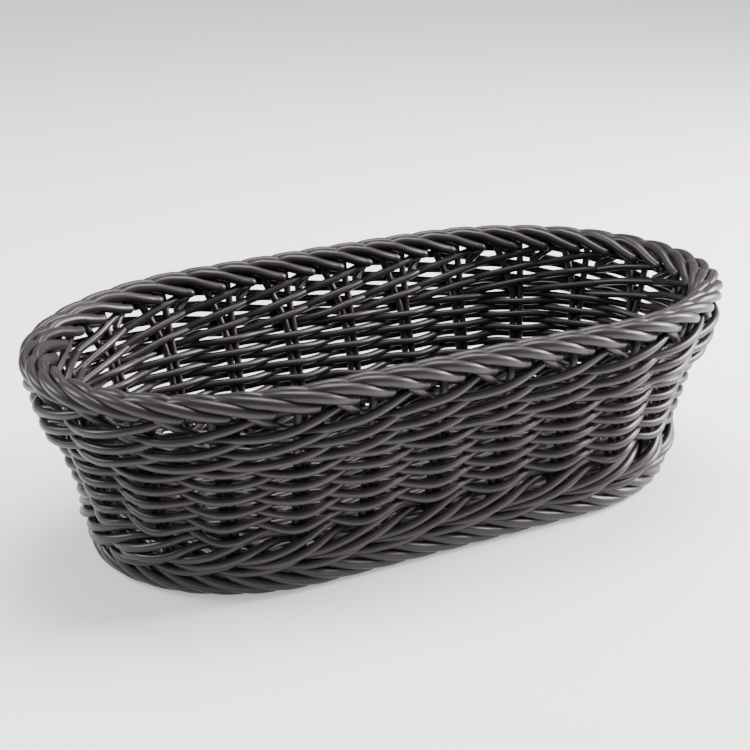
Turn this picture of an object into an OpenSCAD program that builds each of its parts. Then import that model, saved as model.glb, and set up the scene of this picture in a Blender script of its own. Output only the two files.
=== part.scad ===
// Woven bread basket: a long oval tray with a flared wall. Pairs of upright stakes stand
// round a foot border, woven rows pass in front of and behind them, and a two-row border
// closes the rim. The base is a flat weave of long sticks, cross sticks and oval rows.
// The origin is the centre of the foot's underside, +X runs along the basket, +Z is up.

/* [Overall size] */
// Length over the rim border
overall_length = 380; // [340:1:440]
// Width over the rim border
overall_width = 200; // [180:1:230]
// Height from the table to the top of the rim border
overall_height = 112; // [106:1:124]
// Length over the foot border
foot_length = 326; // [290:1:335]
// Width over the foot border
foot_width = 152; // [140:1:165]
// Half-length of the straight middle of each long side
straight_half = 75; // [60:1:85]

/* [Stakes] */
// Number of stake pairs round the wall, in threes so that the waling closes
stake_pairs = 24; // [21:3:27]
// Diameter of one stake
stake_diameter = 3.6; // [3:0.1:4.4]
// Gap between the two stakes of a pair
stake_gap = 0.8; // [0.4:0.1:1.4]
// Where the first pair stands, as a share of the pitch between pairs
first_pair = 0.4; // [0:0.05:1]

/* [Strands] */
// Diameter of a weaving strand
strand = 3.8; // [3.2:0.1:4.6]
// Gap left between pieces that lie against each other
clearance = 0.12; // [0.08:0.01:0.2]

/* [Wall weave] */
// Number of single woven rows that share the height between the two bands of waling
randing_rows = 11; // [9:1:12]
// Number of waling rods below the single rows
lower_wale_rods = 6; // [3:1:7]
// Height of one lower waling rod
lower_rod_height = 3.3; // [2.8:0.1:4]
// Number of waling rods above the single rows
upper_wale_rods = 6; // [3:1:7]
// Height of one upper waling rod
upper_rod_height = 4.1; // [3.4:0.1:4.9]
// Gap between the top waling rod and the rim border
rim_gap = 2.1; // [0.3:0.1:3]

/* [Borders] */
// Width of the rim border
rim_width = 13.6; // [11.6:0.1:16]
// Height of the rim border
rim_height = 10; // [8.4:0.1:12]
// Width of the foot border
foot_border_width = 9.2; // [7.8:0.1:11]
// Height of the foot border
foot_border_height = 12.4; // [10.4:0.1:14.8]

/* [Base] */
// Thickness of the base's sticks, and of the rows woven over them
base_stick = 3.2; // [2.7:0.1:3.6]
// Number of long sticks through the base
long_sticks = 5; // [3:2:5]
// Number of cross sticks over the long sticks
cross_sticks = 11; // [7:2:13]
// Number of oval rows woven flat round the base
base_rows = 5; // [3:1:5]

/* [Hidden] */
$fn = 48;

// Heights of the two reference curves of the stake line
foot_level = 4.6;
rim_level = overall_height - rim_height / 2;
rim_underside = overall_height - rim_height;

// The foot border lies outside the stake line, and the stakes' inner side stands over its inner edge
stake_overhang = 0.9;
foot_outset = foot_border_width - stake_diameter / 2 + stake_overhang;
base_reach = foot_outset - foot_border_width;

// Semi-axes of the rounded ends, at the foot and at the rim
foot_end = foot_length / 2 - foot_outset - straight_half;
rim_end = overall_length / 2 - rim_width / 2 - straight_half;
foot_half_width = foot_width / 2 - foot_outset;
rim_half_width = overall_width / 2 - rim_width / 2;

// Stacked levels of the wall: the single rows fill what the two bands of waling leave
band_gap = 0.6;
lower_wale_start = foot_border_height + clearance;
randing_start = lower_wale_start + lower_wale_rods * lower_rod_height + band_gap;
upper_wale_start = rim_underside - rim_gap - upper_wale_rods * upper_rod_height;
randing_pitch = (upper_wale_start - band_gap - randing_start) / randing_rows;
tallest_row = max(randing_pitch, lower_rod_height, upper_rod_height) - clearance;

// The plan curve's parameter: right end, back side, left end, front side
curve_start = -90;
curve_turn = 540;

function rise(z) = (z - foot_level) / (rim_level - foot_level);
function end_at(z) = foot_end + (rim_end - foot_end) * rise(z);
function half_width_at(z) = foot_half_width + (rim_half_width - foot_half_width) * rise(z);

function unit(v) = v / norm(v);
function wrapped(p) = p - curve_turn * floor((p - curve_start) / curve_turn);

// Point and outward normal of an oval with end semi-axis e and half-width b
function oval_point(p, e, b) =
    p <= 90 ? [straight_half + e * cos(p), b * sin(p)] :
    p <= 180 ? [straight_half * (1 - (p - 90) / 45), b] :
    p <= 360 ? [-straight_half + e * cos(p - 90), b * sin(p - 90)] :
    [-straight_half * (1 - (p - 360) / 45), -b];
function oval_normal(p, e, b) =
    p <= 90 ? unit([cos(p) / e, sin(p) / b]) :
    p <= 180 ? [0, 1] :
    p <= 360 ? unit([cos(p - 90) / e, sin(p - 90) / b]) :
    [0, -1];
function wall_point(p, z, out) =
    oval_point(wrapped(p), end_at(z), half_width_at(z))
    + out * oval_normal(wrapped(p), end_at(z), half_width_at(z));

// Stakes are spaced evenly along the stake line at this share of the wall's rise
spacing_rise = 0.63;
spacing_level = foot_level + spacing_rise * (rim_level - foot_level);
spacing_steps = 270;
function step_parameter(i) = curve_start + curve_turn * i / spacing_steps;
function step_length(i) =
    norm(wall_point(step_parameter(i + 1), spacing_level, 0) - wall_point(step_parameter(i), spacing_level, 0));
along = [for (i = 0, s = 0; i <= spacing_steps; s = s + step_length(i), i = i + 1) [s, step_parameter(i)]];
perimeter = along[spacing_steps][0];

// Curve parameter of a place u, counted in stake pairs
function place(u) =
    let (v = (u + first_pair) / stake_pairs)
    lookup((v - floor(v)) * perimeter, along);

// The wall's lean at a place, outwards run to rise
function lean_at(p) = norm(wall_point(p, rim_level, 0) - wall_point(p, foot_level, 0)) / (rim_level - foot_level);

// A leaning stake shifts within a row's height and is cut slantwise by it, so a strand that
// passes on one side keeps this distance from the stake line
half_strand = strand / 2;
stake_radius = stake_diameter / 2;
bend_room = 0.08;
function slant_room(lean) = lean * tallest_row / 2 + stake_radius * (sqrt(1 + lean * lean) - 1);
function swing(p) = stake_radius + half_strand + slant_room(lean_at(p)) + bend_room + clearance;

// A leaning stake's square-cut end reaches past its middle by its lower edge
function end_room(lean) = stake_radius * lean / sqrt(1 + lean * lean) + clearance;
stake_spacing = stake_diameter + stake_gap;

// The rings' corners, counted in stake pairs
points_per_pair = 6;
stake_places = [for (i = [0:stake_pairs * points_per_pair - 1]) i / points_per_pair];

// A wave cut off at 1 and -1, so that a strand runs straight past the whole width of a pair
function cut_off(wave) = min(1, max(-1, wave));

// Randing: in front of one pair, behind the next
randing_steepness = 1.25;
function randing_offset(u, row) = swing(place(u)) * cut_off(randing_steepness * cos(180 * (u + row)));

// Waling: in front of two pairs, behind the third
wale_steepness = 2.7;
wale_lift = 0.25;
function wale_offset(u, rod) =
    swing(place(u)) * cut_off(wale_steepness * (cos(120 * (u + rod - 0.5)) + wale_lift));

// Base: its top is level with the foot border's
base_lift = foot_border_height - clearance - 3 * base_stick;
long_stick_spacing = 9;
cross_stick_spacing = 16;
base_row_pitch = 9.6;
base_row_width = 8.8;
row_wave = 0.5;
stick_margin = 1.2;

// Colours of the strands
weave_colour = [0.13, 0.12, 0.12];
stake_colour = [0.17, 0.16, 0.16];
border_colour = [0.10, 0.095, 0.095];

function numbered(name, k) = str(name, "_", k < 10 ? "0" : "", k);

// ---- Helpers ----

// A closed band standing straight up between two offset curves of the wall at level z
module band(z, height, outer, inner) {
    count = len(outer);
    translate([0, 0, z])
        linear_extrude(height)
            difference() {
                polygon(outer);
                polygon(inner);
            }
}

// A rod woven round the wall: offsets holds its distance from the stake line at each place
module woven_ring(z, height, offsets) {
    level = z + height / 2;
    outer = [for (i = [0:len(offsets) - 1]) wall_point(place(stake_places[i]), level, offsets[i] + half_strand)];
    inner = [for (i = [0:len(offsets) - 1]) wall_point(place(stake_places[i]), level, offsets[i] - half_strand)];
    band(z, height, outer, inner);
}

// A border row: a ring with a lower, a full and an upper step, scalloped by its strands
module border_ring(z, height, near, far, scallop, steps) {
    for (step = steps) {
        level = z + height / 2;
        outer = [for (u = stake_places) wall_point(place(u), level, far - step[2] - scallop[0] * strand_gap(u))];
        inner = [for (u = stake_places) wall_point(place(u), level, near + step[2] + scallop[1] * strand_gap(u))];
        band(z + step[0] * height, step[1] * height, outer, inner);
    }
}

// 1 between two border strands and 0 at the middle of one, with two strands to a pair
function strand_gap(u) = (1 - cos(720 * u)) / 2;

// A round stick from one point to another
module rod(from, to, diameter) {
    run = to - from;
    flat = norm([run[0], run[1]]);
    translate(from)
        rotate([0, atan2(flat, run[2]), atan2(run[1], run[0])])
            cylinder(d = diameter, h = norm(run));
}

// ---- Pieces ----

// Two stakes side by side, standing on the foot border and ending under the rim border.
// Each leans outwards, so its square-cut ends stop short by the depth of their lower edge.
module stake_pair(k) {
    p = place(k - 1);
    bottom = foot_border_height + end_room(lean_at(p));
    top = rim_underside - end_room(lean_at(p));
    foot = wall_point(p, bottom, 0);
    rim = wall_point(p, top, 0);
    out = oval_normal(wrapped(p), end_at(spacing_level), half_width_at(spacing_level));
    side = [-out[1], out[0]] * stake_spacing / 2;
    color(stake_colour)
        for (way = [-1, 1])
            rod(concat(foot + way * side, bottom), concat(rim + way * side, top), stake_diameter);
}

module randing_row(k) {
    z = randing_start + (k - 1) * randing_pitch;
    color(weave_colour)
        woven_ring(z, randing_pitch - clearance, [for (u = stake_places) randing_offset(u, k)]);
}

module lower_wale_rod(k) {
    z = lower_wale_start + (k - 1) * lower_rod_height;
    color(weave_colour)
        woven_ring(z, lower_rod_height - clearance, [for (u = stake_places) wale_offset(u, k)]);
}

module upper_wale_rod(k) {
    z = upper_wale_start + (k - 1) * upper_rod_height;
    color(weave_colour)
        woven_ring(z, upper_rod_height - clearance, [for (u = stake_places) wale_offset(u, k)]);
}

// The rim border's two rows of strands, side by side on the stakes' tops
rim_steps = [[0, 0.25, 1.6], [0.25, 0.45, 0], [0.7, 0.3, 1.4]];
module rim_border_outer() {
    color(border_colour)
        border_ring(rim_underside, rim_height, clearance / 2, rim_width / 2, [1, 0], rim_steps);
}
module rim_border_inner() {
    color(border_colour)
        border_ring(rim_underside, rim_height, -rim_width / 2, -clearance / 2, [0, 1], rim_steps);
}

// The foot border: a ring under and outside the stakes, flat underneath
foot_steps = [[0, 0.25, 0.8], [0.25, 0.5, 0], [0.75, 0.25, 1]];
module foot_border() {
    color(border_colour)
        border_ring(0, foot_border_height, base_reach, foot_outset, [0.8, 0], foot_steps);
}

// Outline of the base at a distance inside the foot border
base_points = 72;
function base_outline(inset, wave, phase) = [
    for (i = [0:base_points - 1])
        let (p = curve_start + curve_turn * i / base_points)
        wall_point(p, foot_border_height / 2, base_reach - inset - wave * cos(360 * (i / 3 + phase)))
];

module base_row(k) {
    inset = clearance + (k - 1) * base_row_pitch;
    color(weave_colour)
        band(
            base_lift + 2 * base_stick,
            base_stick,
            base_outline(inset + row_wave, row_wave, k / 2),
            base_outline(inset + base_row_width - row_wave, row_wave, k / 2)
        );
}

// Half-length of a stick lying at distance d from the base's middle line, along X or along Y
base_end = end_at(foot_border_height / 2);
base_half_width = half_width_at(foot_border_height / 2) + base_reach - clearance;
function long_reach(y) =
    straight_half + (base_end + base_reach) * sqrt(1 - pow(abs(y) / base_half_width, 2)) - stick_margin;
function cross_reach(x) =
    let (past = max(abs(x) - straight_half, 0) / (base_end + base_reach))
    base_half_width * sqrt(1 - past * past) - stick_margin;

module base_long_sticks() {
    color(stake_colour)
        for (i = [0:long_sticks - 1]) {
            y = (i - (long_sticks - 1) / 2) * long_stick_spacing;
            rod(
                [-long_reach(abs(y) + base_stick), y, base_lift + base_stick / 2],
                [long_reach(abs(y) + base_stick), y, base_lift + base_stick / 2],
                base_stick - clearance
            );
        }
}

module base_cross_sticks() {
    color(stake_colour)
        for (i = [0:cross_sticks - 1]) {
            x = (i - (cross_sticks - 1) / 2) * cross_stick_spacing;
            rod(
                [x, -cross_reach(abs(x) + base_stick), base_lift + 1.5 * base_stick],
                [x, cross_reach(abs(x) + base_stick), base_lift + 1.5 * base_stick],
                base_stick - clearance
            );
        }
}

for (k = [1:stake_pairs])
    stake_pair(k);
for (k = [1:upper_wale_rods])
    upper_wale_rod(k);
for (k = [1:randing_rows])
    randing_row(k);
for (k = [1:lower_wale_rods])
    lower_wale_rod(k);
for (k = [1:base_rows])
    base_row(k);
rim_border_outer();
rim_border_inner();
foot_border();
base_long_sticks();
base_cross_sticks();
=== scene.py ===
"""Looks of the woven bread basket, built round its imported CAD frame.

Every strand is a round tube swept along a path. A path is worked out on the wall: a place u
counted in stake pairs round the basket, a height z, and a distance out from the stake line.
Lengths are in metres, and MM turns millimetres into metres.
"""
import math

import bpy
import numpy as np
from mathutils import Matrix, Vector

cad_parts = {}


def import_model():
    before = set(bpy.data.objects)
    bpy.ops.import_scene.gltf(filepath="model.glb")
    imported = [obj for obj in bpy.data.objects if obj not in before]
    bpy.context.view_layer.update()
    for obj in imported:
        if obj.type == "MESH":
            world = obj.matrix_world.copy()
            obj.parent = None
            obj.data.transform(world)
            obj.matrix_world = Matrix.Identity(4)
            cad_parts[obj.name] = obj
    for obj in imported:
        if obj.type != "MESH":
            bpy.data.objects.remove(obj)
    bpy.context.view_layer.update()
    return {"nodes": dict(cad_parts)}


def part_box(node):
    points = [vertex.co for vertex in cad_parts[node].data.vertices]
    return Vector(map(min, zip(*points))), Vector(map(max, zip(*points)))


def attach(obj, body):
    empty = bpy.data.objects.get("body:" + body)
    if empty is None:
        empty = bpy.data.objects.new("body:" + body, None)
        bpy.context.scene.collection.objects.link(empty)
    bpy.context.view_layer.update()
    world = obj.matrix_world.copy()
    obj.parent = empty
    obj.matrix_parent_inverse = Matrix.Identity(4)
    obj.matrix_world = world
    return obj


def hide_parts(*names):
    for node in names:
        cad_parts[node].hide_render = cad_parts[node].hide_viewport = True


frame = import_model()

MM = 0.001

# ---- The wall's shape: as in the CAD model, apart from the drop of its ends ----

PAIRS = 24
STRAIGHT_HALF = 75 * MM

# How far u = 0 lies from the start of the wall's parameter, in stake pairs.
FIRST_PAIR = 0.4

# How far the borders' outer edges lie outside the stake line.
RIM_OUT = 6.8 * MM
FOOT_OUT = 8.3 * MM

# The share of the wall's rise where the stakes are evenly spaced.
SPACING_RISE = 0.63

# How much lower the tips of the ends hang at the rim; below it the drop shrinks with the rise.
END_DROP = 3.6 * MM
DROP_LIMIT = 1.1

RIM_LOW, RIM_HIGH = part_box("rim_border_outer")
FOOT_LOW, FOOT_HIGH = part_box("foot_border")
RIM_LEVEL = (RIM_LOW.z + RIM_HIGH.z) / 2
FOOT_LEVEL = (FOOT_LOW.z + FOOT_HIGH.z) / 2
RIM_END = RIM_HIGH.x - RIM_OUT - STRAIGHT_HALF
RIM_HALF_WIDTH = RIM_HIGH.y - RIM_OUT
FOOT_END = FOOT_HIGH.x - FOOT_OUT - STRAIGHT_HALF
FOOT_HALF_WIDTH = FOOT_HIGH.y - FOOT_OUT

ROWS = len([name for name in frame["nodes"] if name.startswith("randing_row_")])
ROW_BOXES = [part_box(f"randing_row_{k:02d}") for k in range(1, ROWS + 1)]
ROW_LEVELS = [(low.z + high.z) / 2 for low, high in ROW_BOXES]

# The wall's parameter begins at START, and each stretch of the wall runs up to its own value:
# 180 for a rounded end and 90 for a straight side.
START, RIGHT_END, BACK, LEFT_END, FRONT = -90, 90, 180, 360, 450
TURN = FRONT - START
HALF_SIDE = (BACK - RIGHT_END) / 2
TABLE_STEPS = 2 * TURN + 1


def wall_points(parameter, z, out, square=True):
    """Points on the wall at a parameter, a height and a distance out.

    The distance is measured square to the leaning wall, so a strand outside it sits lower and
    one inside it higher. Without square it is measured level.
    """
    p = (np.asarray(parameter, float) - START) % TURN + START
    z = np.broadcast_to(np.asarray(z, float), p.shape)
    rise = (z - FOOT_LEVEL) / (RIM_LEVEL - FOOT_LEVEL)
    end = FOOT_END + (RIM_END - FOOT_END) * rise
    half_width = FOOT_HALF_WIDTH + (RIM_HALF_WIDTH - FOOT_HALF_WIDTH) * rise
    stretch = [p <= RIGHT_END, p <= BACK, p <= LEFT_END]
    angle = np.radians(np.select(stretch, [p, 90, p - 90], 270))
    middle = np.select(
        stretch,
        [1, 1 - (p - RIGHT_END) / HALF_SIDE, -1],
        -1 + (p - LEFT_END) / HALF_SIDE,
    )
    normal = np.stack([np.cos(angle) / end, np.sin(angle) / half_width], -1)
    normal /= np.linalg.norm(normal, axis=-1, keepdims=True)
    widening = np.hypot(
        (RIM_END - FOOT_END) * np.cos(angle),
        (RIM_HALF_WIDTH - FOOT_HALF_WIDTH) * np.sin(angle),
    )
    lean = np.arctan(widening / (RIM_LEVEL - FOOT_LEVEL)) * square
    x = middle * STRAIGHT_HALF + end * np.cos(angle) + out * np.cos(lean) * normal[..., 0]
    y = half_width * np.sin(angle) + out * np.cos(lean) * normal[..., 1]
    z = z - out * np.sin(lean)
    drop = END_DROP * np.clip(rise, 0, DROP_LIMIT) * (x / RIM_HIGH.x) ** 2
    return np.stack([x, y, z - drop], -1)


def parameter_table():
    """Lengths along the wall at the level where the stakes are evenly spaced."""
    steps = np.linspace(START, FRONT, TABLE_STEPS)
    level = FOOT_LEVEL + SPACING_RISE * (RIM_LEVEL - FOOT_LEVEL)
    points = wall_points(steps, level, 0)[:, :2]
    points[-1] = points[0]
    lengths = np.linalg.norm(np.diff(points, axis=0), axis=1)
    return np.concatenate([[0], np.cumsum(lengths)]), steps


LENGTHS, PARAMETERS = parameter_table()


def wall(u, z, out, square=True):
    """Points of a path: u in stake pairs round the basket, z the height, out the distance out."""
    along = (np.asarray(u, float) + FIRST_PAIR) % PAIRS * LENGTHS[-1] / PAIRS
    return wall_points(np.interp(along, LENGTHS, PARAMETERS), z, out, square)


# ---- Tubes ----

SIDES = 12
STEEP = 0.9
CAP_ANGLES = np.radians([80, 55, 28])
UV_SHIFT = 0.37
SMOOTHING = 9

# A drift adds up this many waves, each with a whole number of turns round the basket.
DRIFT_WAVES = 6
SLOWEST_WAVE, FASTEST_WAVE = 5, 30


def path_frames(points, closed):
    """Two crosswise directions at each point of a path.

    The first crosswise direction keeps close to the vertical, or on a steep path to the
    direction away from the basket's middle.
    """
    if closed:
        tangent = np.roll(points, -1, 0) - np.roll(points, 1, 0)
    else:
        tangent = np.gradient(points, axis=0)
    tangent /= np.linalg.norm(tangent, axis=1, keepdims=True)
    gentle = np.abs(tangent[:, 2]) < STEEP
    if gentle.mean() > 0.5:
        reference = np.array([0.0, 0, 1])
    else:
        reference = np.array([points[:, 0].mean(), points[:, 1].mean(), 0])
        reference /= np.linalg.norm(reference)
    across = reference - (tangent @ reference)[:, None] * tangent
    across /= np.linalg.norm(across, axis=1, keepdims=True)
    return across, np.cross(tangent, across)


def round_ends(points, radius):
    """Adds rings that close an open tube with rounded ends, and each ring's share of the radius."""
    first = points[0] - points[1]
    first /= np.linalg.norm(first)
    last = points[-1] - points[-2]
    last /= np.linalg.norm(last)
    head = [points[0] + first * radius * math.sin(a) for a in CAP_ANGLES]
    tail = [points[-1] + last * radius * math.sin(a) for a in CAP_ANGLES[::-1]]
    shares = np.cos(CAP_ANGLES)
    rounding = np.concatenate([shares, np.ones(len(points)), shares[::-1]])
    return np.concatenate([head, points, tail]), rounding


class Tubes:
    """Gathers swept tubes into one mesh, with UVs of length along and share of a turn round."""

    def __init__(self):
        self.points = []
        self.faces = []
        self.uvs = []
        self.count = 0
        self.strands = 0

    def add(self, points, diameter, closed=False):
        """Sweeps a round tube along the points; each tube's UVs are shifted along a little more."""
        points = np.asarray(points, float)
        rounding = np.ones(len(points))
        if not closed:
            points, rounding = round_ends(points, diameter / 2)
        across, side = path_frames(points, closed)
        turn = np.linspace(0, 2 * math.pi, SIDES, endpoint=False)
        radius = diameter / 2 * rounding[:, None, None]
        ring = (
            points[:, None, :]
            + radius * np.cos(turn)[None, :, None] * across[:, None, :]
            + radius * np.sin(turn)[None, :, None] * side[:, None, :]
        )
        rings = len(points)
        run = np.concatenate([[0], np.cumsum(np.linalg.norm(np.diff(points, axis=0), axis=1))])
        index = self.count + np.arange(rings * SIDES).reshape(rings, SIDES)
        shift = UV_SHIFT * self.strands
        for i in range(rings if closed else rings - 1):
            j = (i + 1) % rings
            along_i = run[i]
            along_j = run[i + 1] if i + 1 < rings else run[i] + (run[1] - run[0])
            for s in range(SIDES):
                t = (s + 1) % SIDES
                self.faces.append((index[i, s], index[j, s], index[j, t], index[i, t]))
                self.uvs.extend(
                    [
                        (along_i + shift, s / SIDES),
                        (along_j + shift, s / SIDES),
                        (along_j + shift, (s + 1) / SIDES),
                        (along_i + shift, (s + 1) / SIDES),
                    ]
                )
        if not closed:
            self.faces.append(tuple(index[0]))
            self.uvs.extend([(shift, s / SIDES) for s in range(SIDES)])
            self.faces.append(tuple(index[-1, ::-1]))
            self.uvs.extend([(run[-1] + shift, s / SIDES) for s in range(SIDES)])
        self.points.append(ring.reshape(-1, 3))
        self.count += rings * SIDES
        self.strands += 1

    def build(self, name, material, replaced):
        """Makes the gathered tubes one piece that rides on the root and replaces CAD nodes."""
        mesh = bpy.data.meshes.new(name)
        points = np.concatenate(self.points)
        mesh.from_pydata(points.tolist(), [], self.faces)
        layer = mesh.uv_layers.new(name="strand")
        layer.data.foreach_set("uv", np.asarray(self.uvs, np.float32).ravel())
        mesh.polygons.foreach_set("use_smooth", [True] * len(mesh.polygons))
        mesh.materials.append(material)
        mesh.update()
        piece = bpy.data.objects.new(name, mesh)
        bpy.context.scene.collection.objects.link(piece)
        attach(piece, "root")
        if replaced:
            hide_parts(*replaced)


def smooth(values, closed=False):
    """Averages values over a window, so that a strand has no sharp corners."""
    if closed:
        before, after = values[-SMOOTHING:], values[:SMOOTHING]
    else:
        before, after = np.full(SMOOTHING, values[0]), np.full(SMOOTHING, values[-1])
    padded = np.concatenate([before, values, after])
    return np.convolve(padded, np.ones(SMOOTHING) / SMOOTHING, "same")[SMOOTHING:-SMOOTHING]


def wander(u, size, seed):
    """A slow, repeatable drift round the basket, so that no two rows lie quite alike."""
    source = np.random.default_rng(seed)
    waves = source.integers(SLOWEST_WAVE, FASTEST_WAVE + 1, DRIFT_WAVES)
    phases = source.uniform(0, 2 * math.pi, DRIFT_WAVES)
    total = sum(np.sin(2 * math.pi * w * u / PAIRS + p) for w, p in zip(waves, phases))
    return size * total / math.sqrt(DRIFT_WAVES)


# ---- Materials ----

BROAD_SHARE = 0.45
RAMP_DARK, RAMP_LIGHT = 0.36, 0.66
GLOSSIER, DULLER = 0.06, 0.08
BLOTCH_SHARE = 0.3
BUMP_STRENGTH = 0.35
BUMP_DEPTH = 0.12 * MM
SPECULAR = 0.42
PLASTIC_IOR = 1.49


def plastic(name, dark, light, roughness):
    """Extruded plastic strand: dark, half matte, with fine streaks along its length."""
    material = bpy.data.materials.new(name)
    material.use_nodes = True
    nodes = material.node_tree.nodes
    links = material.node_tree.links
    shader = nodes["Principled BSDF"]
    uv = nodes.new("ShaderNodeUVMap")
    uv.uv_map = "strand"

    def streaks(along, around, detail):
        """Noise stretched over a strand: along is per metre of it, around per turn round it."""
        scale = nodes.new("ShaderNodeMapping")
        scale.inputs["Scale"].default_value = (along, around, 1)
        noise = nodes.new("ShaderNodeTexNoise")
        noise.inputs["Scale"].default_value = 1
        noise.inputs["Detail"].default_value = detail
        links.new(uv.outputs["UV"], scale.inputs["Vector"])
        links.new(scale.outputs["Vector"], noise.inputs["Vector"])
        return noise.outputs["Fac"]

    def mixed(first, second, share):
        """Two values mixed by the second one's share."""
        mix = nodes.new("ShaderNodeMix")
        mix.inputs["Factor"].default_value = share
        links.new(first, mix.inputs["A"])
        links.new(second, mix.inputs["B"])
        return mix.outputs["Result"]

    fine = streaks(along=60, around=22, detail=3)
    broad = streaks(along=14, around=5, detail=2)
    blotch = streaks(along=300, around=9, detail=2)

    ramp = nodes.new("ShaderNodeValToRGB")
    ramp.color_ramp.elements[0].position = RAMP_DARK
    ramp.color_ramp.elements[0].color = (*dark, 1)
    ramp.color_ramp.elements[1].position = RAMP_LIGHT
    ramp.color_ramp.elements[1].color = (*light, 1)
    links.new(mixed(fine, broad, BROAD_SHARE), ramp.inputs["Fac"])
    links.new(ramp.outputs["Color"], shader.inputs["Base Color"])

    gloss = nodes.new("ShaderNodeMapRange")
    gloss.inputs["To Min"].default_value = roughness - GLOSSIER
    gloss.inputs["To Max"].default_value = roughness + DULLER
    links.new(fine, gloss.inputs["Value"])
    links.new(gloss.outputs["Result"], shader.inputs["Roughness"])

    bump = nodes.new("ShaderNodeBump")
    bump.inputs["Strength"].default_value = BUMP_STRENGTH
    bump.inputs["Distance"].default_value = BUMP_DEPTH
    links.new(mixed(fine, blotch, BLOTCH_SHARE), bump.inputs["Height"])
    links.new(bump.outputs["Normal"], shader.inputs["Normal"])
    shader.inputs["Specular IOR Level"].default_value = SPECULAR
    shader.inputs["IOR"].default_value = PLASTIC_IOR
    return material


WEAVER_PLASTIC = plastic(
    "weaver_plastic", (0.0125, 0.0105, 0.0100), (0.024, 0.0205, 0.0195), 0.36
)
STAKE_PLASTIC = plastic("stake_plastic", (0.0135, 0.0115, 0.0110), (0.026, 0.0225, 0.0215), 0.38)
BORDER_PLASTIC = plastic("border_plastic", (0.0125, 0.0105, 0.0100), (0.023, 0.020, 0.019), 0.35)

# ---- Strand sizes ----

WEAVER = 4.35 * MM
STAKE = 4.1 * MM
BORDER = 5.5 * MM
FOOT_STRAND = 5.4 * MM
FINGER = 4.2 * MM

# Places round the basket where a closed strand is worked out, in stake pairs.
STEPS = 24
U = np.arange(PAIRS * STEPS) / STEPS

# ---- Stakes: side by side in the wall, parting under the rim ----

# Places in a pair, in stake pairs: its middle, its two stakes, and how far the second one
# leans towards the next pair by the rim.
PAIR_CENTRE = 0.08
STAKE_A = 0.02
STAKE_B = 0.14
B_LEAN = 0.25
LEAN_START = ROW_LEVELS[-1]
LEAN_LIMIT = 1.2
LEAN_CURVE = 1.3
SWAY = 0.02
SWAY_SEED = 11
STAKE_FOOT = 5 * MM
STAKE_TOP = RIM_LEVEL - 1 * MM
STAKE_STEPS = 40
STAKE_WAVE = 0.3 * MM
STAKE_WAVES = 180


def stake_pair(k):
    tubes = Tubes()
    z = np.linspace(STAKE_FOOT, STAKE_TOP, STAKE_STEPS)
    lean = np.clip((z - LEAN_START) / (RIM_LOW.z - LEAN_START), 0, LEAN_LIMIT) ** LEAN_CURVE
    sway = wander(np.array([k - 1.0]), SWAY, SWAY_SEED)[0]
    a = k - 1 + STAKE_A + sway * lean
    b = k - 1 + STAKE_B + (B_LEAN + sway) * lean
    for stake, u in ((1, a), (2, b)):
        tubes.add(wall(u, z, STAKE_WAVE * np.sin(z * STAKE_WAVES + k * stake)), STAKE)
    tubes.build(f"stakes_{k:02d}", STAKE_PLASTIC, [f"stake_pair_{k:02d}"])


# ---- Randing: single rows, in front of one pair and behind the next ----

RANDING_SWING = 4.6 * MM
RANDING_DRIFT_OUT = 0.2 * MM
RANDING_DRIFT_UP = 0.22 * MM

# The lowest rows sag between the pairs, most at SAG_PLACE.
SAG_PLACE = 0.95
SAGS = [2.9 * MM, 2.4 * MM, 1.9 * MM, 1.4 * MM, 1.0 * MM, 0.6 * MM, 0.3 * MM]


def randing_row(k):
    tubes = Tubes()
    u = U - PAIR_CENTRE
    out = RANDING_SWING * np.cos(math.pi * (u + k + 1)) + wander(U, RANDING_DRIFT_OUT, 100 + k)
    sag = SAGS[k - 1] if k <= len(SAGS) else 0
    z = ROW_LEVELS[k - 1] + wander(U, RANDING_DRIFT_UP, 200 + k)
    z = z - sag * (1 + np.cos(2 * math.pi * (U - SAG_PLACE))) / 2
    tubes.add(wall(U, z, out), WEAVER, closed=True)
    tubes.build(f"randing_{k:02d}", WEAVER_PLASTIC, [f"randing_row_{k:02d}"])


# ---- Waling: three strands, each in front of two pairs and behind the third ----

# Each round from the lowest up: the height where a strand dives in, how far it climbed on the
# way there, how far it swings out, and its shift along the wall in stake pairs.
UPPER_WALE = [
    (83.0 * MM, 8 * MM, 4.6 * MM, 0.27),
    (92.2 * MM, 10.5 * MM, 5.0 * MM, 0.27),
    (101.4 * MM, 12 * MM, 5.0 * MM, 0.27),
]
LOWER_WALE = [
    (19.5 * MM, 6 * MM, 4.8 * MM, -0.05),
    (29 * MM, 13.5 * MM, 5.4 * MM, 0.34),
    (34 * MM, 17 * MM, 4.6 * MM, 0.17),
]
WALE_LIFT = 0.3
WALE_DRIFT_OUT = 0.25 * MM
WALE_DRIFT_UP = 0.3 * MM

# How much further the upper waling swings out at the tips of the rounded ends.
END_BULGE = 0.2

# Places along a strand's three pairs, and how far it lies below its top there, as a share of
# the climb.
CLIMB_PLACES = [0, 0.15, 1.85, 3]
CLIMB_SHARES = [0.87, 1, 0, 0.87]


def end_share(u):
    """0 along the middle of the straight sides and 1 at the tips of the rounded ends."""
    return (wall(u, RIM_LEVEL, 0)[:, 0] / (RIM_END + STRAIGHT_HALF)) ** 4


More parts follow.
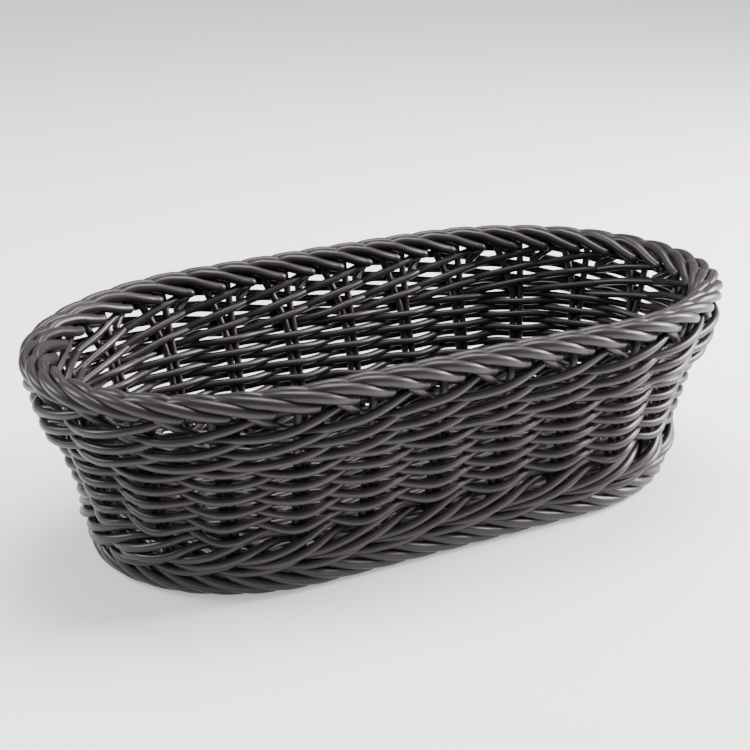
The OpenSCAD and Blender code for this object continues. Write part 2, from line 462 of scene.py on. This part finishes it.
def wale_round(name, replaced, top, climb, swing, shift, end_bulge, seed):
    tubes = Tubes()
    for strand in range(3):
        v = (U - shift + strand) % 3
        out = swing * (np.cos(2 * math.pi * (v - 0.5) / 3) + WALE_LIFT) / (0.5 + WALE_LIFT)
        z = top - climb * np.interp((v + 0.5) % 3, CLIMB_PLACES, CLIMB_SHARES)
        z = smooth(z, closed=True) + wander(U, WALE_DRIFT_UP, seed + strand)
        out = out * (1 + end_bulge * end_share(U) * (out > 0))
        out = out + wander(U, WALE_DRIFT_OUT, seed + 20 + strand)
        tubes.add(wall(U, z, out), WEAVER, closed=True)
    tubes.build(name, WEAVER_PLASTIC, replaced)


def waling(name, rounds, end_bulge, seed):
    for r, (top, climb, swing, shift) in enumerate(rounds):
        wale_round(
            f"{name}_{r + 1}",
            [f"{name}_rod_{2 * r + 1:02d}", f"{name}_rod_{2 * r + 2:02d}"],
            top, climb, swing, shift, end_bulge, seed + 40 * r,
        )


# ---- Borders: rows of slanting strands that lap over each other ----

STRANDS = 2 * PAIRS
BORDER_PITCH = 0.5
BORDER_STEPS = 60
RIM_SHIFT = 0.12
FOOT_OUTER_SHIFT = 0.0
FOOT_INNER_SHIFT = 0.25

# The course of a strand: places along the border in strands, millimetres out, millimetres up.
RIM_OUTER = (
    [-0.7, -0.2, 0.3, 0.9, 1.4, 1.8, 2.15],
    [-2.2, -0.6, 2.0, 5.2, 6.4, 5.2, 2.2],
    [-3.0, 1.0, 3.6, 2.8, 0.2, -2.8, -5.4],
)
RIM_INNER = (
    [-1.9, -1.45, -0.95, -0.3, 0.2, 0.7],
    [-5.4, -6.0, -4.8, -1.8, 0.6, 2.2],
    [-4.8, -2.0, 1.8, 3.6, 1.0, -3.0],
)
FOOT_OUTER = (
    [-0.3, 0.1, 0.6, 1.2, 1.8, 2.3],
    [3.0, 5.6, 7.4, 7.6, 6.6, 5.0],
    [7.0, 5.2, 2.0, -0.9, -2.9, -3.5],
)
FOOT_INNER = (
    [-2.0, -1.4, -0.7, -0.1, 0.4],
    [2.4, 0.8, 0.8, 2.4, 4.2],
    [-3.5, -2.4, 1.2, 4.4, 5.4],
)


def border_strand(tubes, j, course, level, diameter, shift):
    places, outs, rises = course
    v = np.linspace(places[0], places[-1], BORDER_STEPS)
    out = smooth(np.interp(v, places, outs)) * MM
    z = level + smooth(np.interp(v, places, rises)) * MM
    tubes.add(wall((j + v) * BORDER_PITCH + shift, z, out, square=False), diameter)


def rim_border():
    outer = Tubes()
    inner = Tubes()
    for j in range(STRANDS):
        border_strand(outer, j, RIM_OUTER, RIM_LEVEL, BORDER, RIM_SHIFT)
        border_strand(inner, j, RIM_INNER, RIM_LEVEL, BORDER, RIM_SHIFT)
    outer.build("rim_outer_strands", BORDER_PLASTIC, ["rim_border_outer"])
    inner.build("rim_inner_strands", BORDER_PLASTIC, ["rim_border_inner"])


def foot_border():
    tubes = Tubes()
    for j in range(STRANDS):
        border_strand(tubes, j, FOOT_OUTER, FOOT_LEVEL, FOOT_STRAND, FOOT_OUTER_SHIFT)
        border_strand(tubes, j, FOOT_INNER, FOOT_LEVEL, FOOT_STRAND, FOOT_INNER_SHIFT)
    tubes.build("foot_strands", BORDER_PLASTIC, ["foot_border"])


# Start and run along the wall are in stake pairs, and the distances out in millimetres.
FINGER_STEPS = 24
FINGER_START = 0.46
FINGER_RUN = 0.38
FINGER_TOP = 2 * MM
FINGER_DROP = 11 * MM
FINGER_OUT = 4.5
FINGER_IN = 3.0


def rim_fingers():
    """Every second border strand comes out underneath and dives into the waling."""
    tubes = Tubes()
    for k in range(PAIRS):
        t = np.linspace(0, 1, FINGER_STEPS)
        u = k + FINGER_START + FINGER_RUN * t
        z = (RIM_LOW.z + FINGER_TOP) - FINGER_DROP * t
        out = (FINGER_OUT - FINGER_IN * t**2) * MM
        tubes.add(wall(u, z, out), FINGER)
    tubes.build("rim_fingers", BORDER_PLASTIC, [])


# ---- Base: long sticks, cross sticks and rows woven flat round them ----

BASE_STICK = 3.1 * MM
BASE_STRAND = 3.7 * MM
BASE_PITCH = 4.0 * MM
BASE_WAVE = 0.9 * MM
BASE_ROWS = 5
LONG_STICKS = 5
LONG_TAPER = 6 * MM
CROSS_STICKS = 11
CROSS_TAPER = 9 * MM
CROSS_SPACING = 16 * MM
STICK_STEPS = 40
CENTRE_STEPS = 120


def base_sticks():
    """Straight sticks, the outer ones shorter so that they end inside the foot border."""
    tubes = Tubes()
    t = np.linspace(-1, 1, STICK_STEPS)
    for node, count in (("base_long_sticks", LONG_STICKS), ("base_cross_sticks", CROSS_STICKS)):
        low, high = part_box(node)
        level = (low.z + high.z) / 2 + 0 * t
        for i in range(count):
            side = 2 * i / (count - 1) - 1
            if node == "base_long_sticks":
                y = side * (high.y - BASE_STICK / 2)
                reach = high.x - LONG_TAPER * abs(side)
                tubes.add(np.stack([t * reach, y + 0 * t, level], -1), BASE_STICK)
            else:
                x = side * (high.x - BASE_STICK / 2)
                reach = high.y - CROSS_TAPER * abs(side) ** 3
                tubes.add(np.stack([x + 0 * t, t * reach, level], -1), BASE_STICK)
    tubes.build("base_sticks", STAKE_PLASTIC, ["base_long_sticks", "base_cross_sticks"])


def base_wave(x, level):
    """The height of a base strand as it passes over and under the cross sticks."""
    return level + BASE_WAVE * np.cos(math.pi * x)


def base_rows():
    """Oval rows from the foot border inwards, closed in the middle by one straight strand."""
    low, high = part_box("base_row_01")
    level = (low.z + high.z) / 2
    half_width = wall(U, level, 0, square=False)[:, 1].max()
    count = round(half_width / BASE_PITCH)
    pitch = half_width / count
    tubes = Tubes()
    for r in range(1, count):
        flat = wall(U, level, -r * pitch, square=False)
        flat[:, 2] = base_wave(flat[:, 0] / CROSS_SPACING + r, level)
        tubes.add(flat, BASE_STRAND, closed=True)
    x = np.linspace(-STRAIGHT_HALF, STRAIGHT_HALF, CENTRE_STEPS)
    tubes.add(np.stack([x, 0 * x, base_wave(x / CROSS_SPACING, level)], -1), BASE_STRAND)
    nodes = [f"base_row_{k:02d}" for k in range(1, BASE_ROWS + 1)]
    tubes.build("base_rows", WEAVER_PLASTIC, nodes)


for k in range(1, PAIRS + 1):
    stake_pair(k)
for k in range(1, ROWS + 1):
    randing_row(k)
waling("upper_wale", UPPER_WALE, END_BULGE, 300)
waling("lower_wale", LOWER_WALE, 0, 500)
rim_border()
rim_fingers()
foot_border()
base_sticks()
base_rows()

# ---- Floor, lights and camera ----

# The floor lies just under the basket, so that their faces don't share one plane.
FLOOR_SIZE = 30
FLOOR_LEVEL = -0.0005
FLOOR_COLOUR = (0.96, 0.96, 0.96, 1)
FLOOR_ROUGHNESS = 0.9
FLOOR_GLOW = 0.4
WHITE = (1, 1, 1, 1)
WORLD_STRENGTH = 0.55
LIGHT_COLOUR = (1, 0.965, 0.95)
LIGHT_TARGET = (0, 0, 0.06)

# Angles in degrees. At no azimuth the camera looks along +Y, and the elevation tips it down.
CAMERA_AZIMUTH = 26.73
CAMERA_ELEVATION = 21.30
CAMERA_ROLL = -1.07
CAMERA_TARGET = (-0.0090, 0, 0.0700)
CAMERA_DISTANCE = 0.795
CAMERA_LENS = 72.66
CAMERA_SENSOR = 36
CAMERA_NEAR = 0.01


def floor():
    bpy.ops.mesh.primitive_plane_add(size=FLOOR_SIZE, location=(0, 0, FLOOR_LEVEL))
    plane = bpy.context.object
    plane.name = "floor"
    material = bpy.data.materials.new("pale_floor")
    material.use_nodes = True
    shader = material.node_tree.nodes["Principled BSDF"]
    shader.inputs["Base Color"].default_value = FLOOR_COLOUR
    shader.inputs["Roughness"].default_value = FLOOR_ROUGHNESS
    shader.inputs["Emission Color"].default_value = WHITE
    shader.inputs["Emission Strength"].default_value = FLOOR_GLOW
    plane.data.materials.append(material)


def area_light(name, place, size, power):
    light = bpy.data.lights.new(name, "AREA")
    light.shape = "RECTANGLE"
    light.size, light.size_y = size
    light.energy = power
    light.color = LIGHT_COLOUR
    lamp = bpy.data.objects.new(name, light)
    lamp.location = place
    aim = Vector(LIGHT_TARGET) - Vector(place)
    lamp.rotation_euler = aim.to_track_quat("-Z", "Y").to_euler()
    bpy.context.scene.collection.objects.link(lamp)


def world():
    scene = bpy.context.scene
    scene.world = bpy.data.worlds.new("studio")
    scene.world.use_nodes = True
    background = scene.world.node_tree.nodes["Background"]
    background.inputs["Color"].default_value = WHITE
    background.inputs["Strength"].default_value = WORLD_STRENGTH


def camera():
    azimuth, elevation = math.radians(CAMERA_AZIMUTH), math.radians(CAMERA_ELEVATION)
    roll = math.radians(CAMERA_ROLL)
    ahead = Vector((
        math.sin(azimuth) * math.cos(elevation),
        math.cos(azimuth) * math.cos(elevation),
        -math.sin(elevation),
    ))
    right = Vector((math.cos(azimuth), -math.sin(azimuth), 0))
    up = right.cross(ahead)
    side = right * math.cos(roll) + up * math.sin(roll)
    top = up * math.cos(roll) - right * math.sin(roll)
    data = bpy.data.cameras.new("camera")
    data.lens = CAMERA_LENS
    data.sensor_width = CAMERA_SENSOR
    data.clip_start = CAMERA_NEAR
    viewer = bpy.data.objects.new("camera", data)
    turn = Matrix((side, top, -ahead)).transposed().to_4x4()
    place = Vector(CAMERA_TARGET) - ahead * CAMERA_DISTANCE
    viewer.matrix_world = Matrix.Translation(place) @ turn
    bpy.context.scene.collection.objects.link(viewer)
    bpy.context.scene.camera = viewer


floor()
world()
area_light("top_softbox", (0.25, 0.2, 1.3), (0.8, 0.8), 26)
area_light("right_softbox", (1.15, -0.25, 0.55), (0.45, 0.7), 50)
area_light("left_softbox", (-1.0, 0.6, 0.8), (0.5, 0.5), 12)
camera()

bpy.context.view_layer.update()
